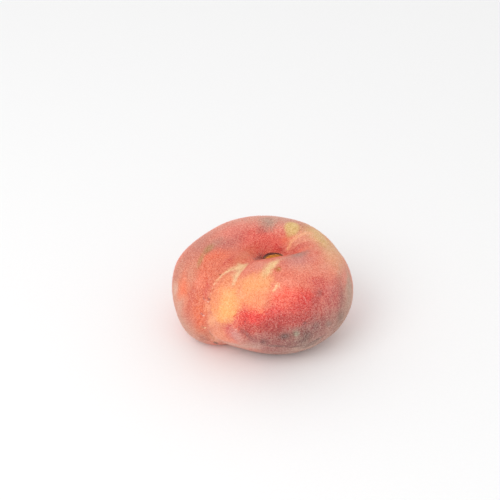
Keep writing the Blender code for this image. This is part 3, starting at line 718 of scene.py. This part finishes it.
def corkMaterial():
    # dry cork: matte, ridged and mottled from straw to dark brown
    material, tree, shader = newMaterial("dry fibrous cork")
    still = addNode(tree, "TexCoord").outputs["Object"]
    spacing, closer = corkLook["ridges"]
    grain = addNode(tree, "Mapping", {"Vector": still, "Scale": (1, closer, closer)}).outputs[0]
    ridges = addNode(tree, "TexNoise", {"Vector": grain, "Scale": 1 / (spacing * mm), "Detail": 4.0})
    mottle = addNode(tree, "TexNoise", {"Vector": still, "Scale": 1 / (corkLook["mottle"] * mm), "Detail": 3.0})
    edge = addNode(tree, "Attribute", attribute_name="edge")
    layers = []
    for source, shade, tone in ((mottle, "mottleShade", "corkPale"), (ridges, "ridgeShade", "corkDark"),
                                (edge, "edgeShade", "corkEdge")):
        starts, full = corkLook[shade]
        mask = addNode(tree, "MapRange", {"Value": source.outputs["Fac"], "From Min": starts, "From Max": full},
                       interpolation_type="SMOOTHSTEP")
        layers.append((mask.outputs[0], corkLook[tone]))
    tree.links.new(layColours(tree, linear(corkLook["cork"]), layers), shader.inputs["Base Color"])
    shader.inputs["Roughness"].default_value = corkLook["roughness"]
    shader.inputs["IOR"].default_value = corkLook["ior"]
    strength, height = corkLook["bump"]
    bump = addNode(tree, "Bump", {"Height": ridges.outputs["Fac"], "Strength": strength,
                                  "Distance": height * mm})
    tree.links.new(bump.outputs[0], shader.inputs["Normal"])
    return material


def corkRise(share, rise):
    # how far the cork stands up, from its middle, 0, to its edge, 1
    return rise * (1 - share**5)


def corkSurface(angle, share, edge, lean, rise, toBlossom):
    station = share * edge * (1 + lean * np.sin(angle))
    points = fruitForm(angle, 1 - station if toBlossom else station) - middleOfFruit
    alongGrain, acrossGrain = corkLook["grain"]
    layer, fineness, spread, octaves = 5.0, 0.6, 2.0, 4      # of the noise
    ridges = np.array([noise.fractal(Vector((p[0] * alongGrain, p[1] * acrossGrain, layer)),
                                     fineness, spread, octaves) for p in points])
    lift = corkRise(share, rise) + corkLook["ridgeHeight"] * ridges * ease((1 - share) / corkLook["ridgesEnd"])
    points[:, 2] += lift * (-1 if toBlossom else 1)
    return points


def corkCap(name, edge, lean, rise, toBlossom=False):
    # a closed disc: the ridged face that shows, and a plain back under the skin
    ring, rows, depth = corkLook["ring"], corkLook["rows"], corkLook["backDepth"]
    angle = np.concatenate([[0.0], np.tile(np.arange(ring) * 2 * np.pi / ring, rows)])
    share = np.concatenate([[0.0], np.repeat(np.arange(1, rows + 1) / rows, ring)])
    face = corkSurface(angle, share, edge, lean, rise, toBlossom)
    sunk = face[-ring:] + (0, 0, depth if toBlossom else -depth)
    back = sunk.mean(0) * (1, 1, 0) + (0, 0, sunk[:, 2].max() if toBlossom else sunk[:, 2].min())
    points = np.concatenate([face, sunk, [back]])
    faces = []
    for i in range(ring):
        j = (i + 1) % ring
        faces.append((0, 1 + i, 1 + j))
        for row in range(rows):
            a, b = 1 + row * ring, 1 + (row + 1) * ring
            faces.append((a + i, b + i, b + j, a + j))
        faces.append((1 + rows * ring + i, len(points) - 1, 1 + rows * ring + j))
    if toBlossom:
        faces = [corners[::-1] for corners in faces]
    piece = meshPiece(name, points, faces, cork)
    storeValues(piece, "edge", np.concatenate([share, np.ones(ring + 1)]))
    return piece


# The torn fibres of the stalk, which lie over the cork and curl up at its edge.
fibres = {
    "seed": 7,
    "count": 170,
    "within": 0.97,                  # share of the cork's reach that their middles keep to
    "length": (1.2, 3.4),
    "width": (0.05, 0.12),
    "taper": 0.75,                   # share of the width that is lost at the tip
    "strays": 0.35,                  # radians from straight across the view
    "bends": 0.5,                    # radians from one end to the other
    "curl": (0.0, 0.35),             # how far the tip lifts
    "drawnIn": 0.28,                 # how far the tip turns to the middle, as a share of its way there
    "clear": 0.07,                   # height over the cork
    "rings": 6,
    "toneSpread": 0.06,
    "pale": "#FFC46C",
    "middle": "#FFAA3A",
    "dark": "#4A2314",
    "middleFrom": (0.35, 0.75),      # the shares of all fibres between which pale turns to middle
    "darkFrom": (0.72, 0.80),
    "roughness": 0.8,
}


def fibreMaterial():
    # dry plant fibre: matte, straw to dark brown from one fibre to the next
    material, tree, shader = newMaterial("torn stalk fibres")
    tone = addNode(tree, "Attribute", attribute_name="tone").outputs["Fac"]
    layers = []
    for shade in ("middle", "dark"):
        starts, full = fibres[shade + "From"]
        mask = addNode(tree, "MapRange", {"Value": tone, "From Min": starts, "From Max": full})
        layers.append((mask.outputs[0], fibres[shade]))
    tree.links.new(layColours(tree, linear(fibres["pale"]), layers), shader.inputs["Base Color"])
    shader.inputs["Roughness"].default_value = fibres["roughness"]
    return material


def makeFibres():
    # each fibre is a tapered strand with four sides
    rng = np.random.default_rng(fibres["seed"])
    rings, clear, innermost = fibres["rings"], fibres["clear"], 0.02
    points, faces, tones = [], [], []
    for i in range(fibres["count"]):
        at = rng.uniform(0, 2 * np.pi)
        share = fibres["within"] * math.sqrt(rng.uniform(innermost, 1))
        station = share * corkLook["stemEdge"] * (1 + corkLook["stemLeans"] * math.sin(at))
        root = (fruitForm(np.array([at]), np.array([station])) - middleOfFruit)[0]
        root[2] += corkRise(share, corkLook["stemRise"])
        way = rng.normal(0.0, fibres["strays"]) + (math.pi if rng.random() < 0.5 else 0)
        length, width = rng.uniform(*fibres["length"]), rng.uniform(*fibres["width"])
        bend, curl = rng.normal(0, fibres["bends"]), rng.uniform(*fibres["curl"])
        toMiddle = Vector((root[0] - stemMiddle[0], root[1] - stemMiddle[1], 0)) * -fibres["drawnIn"]
        first = len(points)
        for k in range(rings):
            f = k / (rings - 1)
            heading = way + bend * f
            ahead = Vector((math.cos(heading), math.sin(heading), 0))
            middle = Vector(root) + ahead * (f - 0.5) * length + toMiddle * f
            middle.z += clear + curl * f * f
            half = width / 2 * (1 - fibres["taper"] * f)
            side, up = Vector((-ahead.y, ahead.x, 0)) * half, Vector((0, 0, half))
            points += [middle + side, middle + up, middle - side, middle - up]
            tones += [rng.uniform(-fibres["toneSpread"], fibres["toneSpread"]) + i / fibres["count"]] * 4
            if k:
                a = first + 4 * (k - 1)
                faces += [(a + q, a + (q + 1) % 4, a + 4 + (q + 1) % 4, a + 4 + q) for q in range(4)]
        last = first + 4 * (rings - 1)
        faces += [(first + 3, first + 2, first + 1, first), (last, last + 1, last + 2, last + 3)]
    piece = meshPiece("stem_fibres", points, faces, fibreMaterial())
    storeValues(piece, "tone", np.array(tones))
    return piece


cork = corkMaterial()
stemMiddle = (fruitForm(np.array([0.0]), np.array([0.0])) - middleOfFruit)[0]
corkPieces = [
    corkCap("stem_scar", corkLook["stemEdge"], corkLook["stemLeans"], corkLook["stemRise"]),
    corkCap("blossom_scar", corkLook["blossomEdge"], 0.0, corkLook["blossomRise"], toBlossom=True),
    makeFibres(),
]
for piece in corkPieces:
    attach(piece, "root")
    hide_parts("peach")
print("cork and fibres made:", sum(len(piece.data.polygons) for piece in corkPieces), "faces")


# Peach down: short soft hairs, one thin triangle each, rooted in the skin. A real hair is about 0.02 mm
# wide and takes the colour of the skin behind it, so these are drawn twice as wide and only partly pale.
down = {
    "seed": 11,
    "pieces": {                      # the stations between which they stand, and how many
        "down_upper": (0.10, 0.44, 160000),
        "down_lower": (0.44, 0.985, 190000),
    },
    "length": (0.20, 0.55),
    "width": 0.048,
    "rooted": 0.03,                  # how deep they stand in the skin
    "lean": (35, 70),                # degrees from standing straight up
    "combed": 1.1,                   # how strongly they are combed towards the blossom end
    "strays": 1.2,                   # radians that a hair strays when this strength is 1
    "lowestRoot": 0.35,              # none is drawn where the fruit rests on the floor
    "lowestTip": 0.05,
    "brightFew": 5.0,                # the higher, the fewer hairs are bright
    "paleness": (0.12, 0.95),        # of the dullest and of the brightest hairs
    "pale": "#FFF0E4",
    "roughness": 0.9,
    "ior": 1.45,
}


def downMaterial():
    # peach down: pale, soft and dull, so it veils the skin and lights its edge
    material, tree, shader = newMaterial("soft peach down")
    colour = skinColour(tree, addNode(tree, "Attribute", attribute_name="root").outputs["Vector"])
    tone = addNode(tree, "Attribute", attribute_name="tone").outputs["Fac"]
    bright = addNode(tree, "Math", {0: tone, 1: down["brightFew"]}, operation="POWER").outputs[0]
    dullest, brightest = down["paleness"]
    share = addNode(tree, "MapRange", {"Value": bright, "To Min": dullest, "To Max": brightest}).outputs[0]
    tree.links.new(layColours(tree, colour, [(share, down["pale"])]), shader.inputs["Base Color"])
    shader.inputs["Roughness"].default_value = down["roughness"]
    shader.inputs["IOR"].default_value = down["ior"]
    return material


def unit(vectors):
    return vectors / (np.linalg.norm(vectors, axis=-1, keepdims=True) + tiny)


def makeDown(name, lowest, highest, count, material, rng):
    # roots are spread evenly by the area of the skin's grid
    around = fruit["meridians"]
    grid = skinPoints[1:-1].reshape(-1, around, 3)
    a, b, c = grid[:-1], grid[1:], np.roll(grid[1:], -1, 1)
    area = np.linalg.norm(np.cross(b - a, c - a), axis=-1)
    rowStation = (np.arange(len(grid) - 1) + 1.5) / fruit["parallels"]
    area = area * ((rowStation > lowest) & (rowStation <= highest))[:, None]
    chosen = np.searchsorted(np.cumsum(area.ravel()) / area.sum(), rng.random(count))
    row, column = chosen // around, chosen % around
    f, g = rng.random(count)[:, None], rng.random(count)[:, None]
    beside = (column + 1) % around
    high, highBeside = grid[row, column], grid[row, beside]
    low, lowBeside = grid[row + 1, column], grid[row + 1, beside]
    root = (high * (1 - g) + highBeside * g) * (1 - f) + (low * (1 - g) + lowBeside * g) * f
    across = unit((highBeside - high) * (1 - f) + (lowBeside - low) * f)
    out = unit(np.cross((low - high) * (1 - g) + (lowBeside - highBeside) * g, across))
    toBlossom = np.cross(across, out)

    turn = rng.normal(0, 1.0 / down["combed"], count)[:, None] * down["strays"]
    lean = np.radians(rng.uniform(*down["lean"], count))[:, None]
    hair = out * np.cos(lean) + (toBlossom * np.cos(turn) + across * np.sin(turn)) * np.sin(lean)
    length = rng.uniform(*down["length"], count)[:, None]
    side = unit(np.cross(out, hair)) * down["width"] / 2
    tip = root + hair * length
    foot = root - out * down["rooted"]
    keep = (root[:, 2] > down["lowestRoot"]) & (tip[:, 2] > down["lowestTip"])
    points = np.stack([foot + side, foot - side, tip], 1)[keep]
    faces = np.arange(len(points) * 3).reshape(-1, 3).tolist()
    piece = meshPiece(name, points.reshape(-1, 3), faces, material, smooth=False)

    angle = ((column[:, None] + g) / around * 2 * np.pi).ravel()[keep]
    station = ((row[:, None] + 1 + f) / fruit["parallels"]).ravel()[keep]
    markPlaces(piece, np.repeat(angle, 3), np.repeat(station, 3))
    storeValues(piece, "root", np.repeat(root[keep], 3, axis=0) * mm)
    storeValues(piece, "tone", np.repeat(rng.random(len(points)), 3))
    uv = np.stack([angle / (2 * np.pi), 1 - station], -1)[:, None] + ((-0.001, 0), (0.001, 0), (0, -0.002))
    uv = np.clip(uv, 0, 1).astype(np.float32)
    piece.data.uv_layers.new(name="OFBake").data.foreach_set("uv", uv.ravel())
    return piece


downColour = downMaterial()
hairRng = np.random.default_rng(down["seed"])
for name, (lowest, highest, count) in down["pieces"].items():
    piece = makeDown(name, lowest, highest, count, downColour, hairRng)
    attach(piece, "root")
    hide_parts("peach")
    print(name, "made:", len(piece.data.polygons), "hairs")


# The studio: a pale floor, a soft bright surround and a large soft light from the upper left.
studio = {
    "floorColour": "#FBFBFB",
    "floorShade": "#F8F8F8",         # the tone between the paper's fibres
    "floorGrain": 1.2,
    "floorRoughness": 0.9,
    "floorSize": 6000,
    "surround": 0.85,
    "keyPower": 2.0,
    "keySize": 500,
    "keyFrom": (-380, -420, 620),
    "lens": 100,
    "sensor": 36,
    "sees": (0.01, 20),              # metres, nearest and furthest
    "elevation": 38,                 # degrees above the table, from the photo's view into the stem pit
    "frameWidth": 206,               # mm across the picture at the fruit
    "aimAt": (0, 0, 21),
    "picture": 500,                  # pixels each way
    "fruitPixel": (262.5, 285.0),    # where aimAt falls in it
}


def lookAt(obj, target):
    obj.rotation_euler = (obj.location - Vector(target)).to_track_quat("Z", "Y").to_euler()


def makeStudio():
    # matte paper: white, with a faint grain and no shine
    material, tree, shader = newMaterial("matte white paper")
    still = addNode(tree, "TexCoord").outputs["Object"]
    grain = addNode(tree, "TexNoise", {"Vector": still, "Scale": 1 / (studio["floorGrain"] * mm)})
    layers = [(grain.outputs["Fac"], studio["floorShade"])]
    tree.links.new(layColours(tree, linear(studio["floorColour"]), layers), shader.inputs["Base Color"])
    shader.inputs["Roughness"].default_value = studio["floorRoughness"]
    half = studio["floorSize"] / 2
    floor = meshPiece("floor", [(-half, -half, 0), (half, -half, 0), (half, half, 0), (-half, half, 0)],
                      [(0, 1, 2, 3)], material, smooth=False)
    world = bpy.data.worlds.new("soft surround")
    world.use_nodes = True
    world.node_tree.nodes["Background"].inputs["Color"].default_value = (1, 1, 1, 1)
    world.node_tree.nodes["Background"].inputs["Strength"].default_value = studio["surround"]
    bpy.context.scene.world = world
    light = bpy.data.lights.new("key", "AREA")
    light.energy = studio["keyPower"]
    light.size = studio["keySize"] * mm
    key = bpy.data.objects.new("key", light)
    key.location = Vector(studio["keyFrom"]) * mm
    lookAt(key, Vector(studio["aimAt"]) * mm)
    bpy.context.scene.collection.objects.link(key)


def makeCamera():
    lens = bpy.data.cameras.new("camera")
    lens.lens, lens.sensor_width = studio["lens"], studio["sensor"]
    lens.clip_start, lens.clip_end = studio["sees"]
    middle = studio["picture"] / 2
    lens.shift_x = (middle - studio["fruitPixel"][0]) / studio["picture"]
    lens.shift_y = (studio["fruitPixel"][1] - middle) / studio["picture"]
    away = studio["frameWidth"] * studio["lens"] / studio["sensor"]
    up = math.radians(studio["elevation"])
    camera = bpy.data.objects.new("camera", lens)
    camera.location = (Vector(studio["aimAt"]) + Vector((0, -math.cos(up), math.sin(up))) * away) * mm
    lookAt(camera, Vector(studio["aimAt"]) * mm)
    bpy.context.scene.collection.objects.link(camera)
    bpy.context.scene.camera = camera


makeStudio()
makeCamera()
bpy.context.scene.view_settings.view_transform = "Standard"
print("studio and camera made")
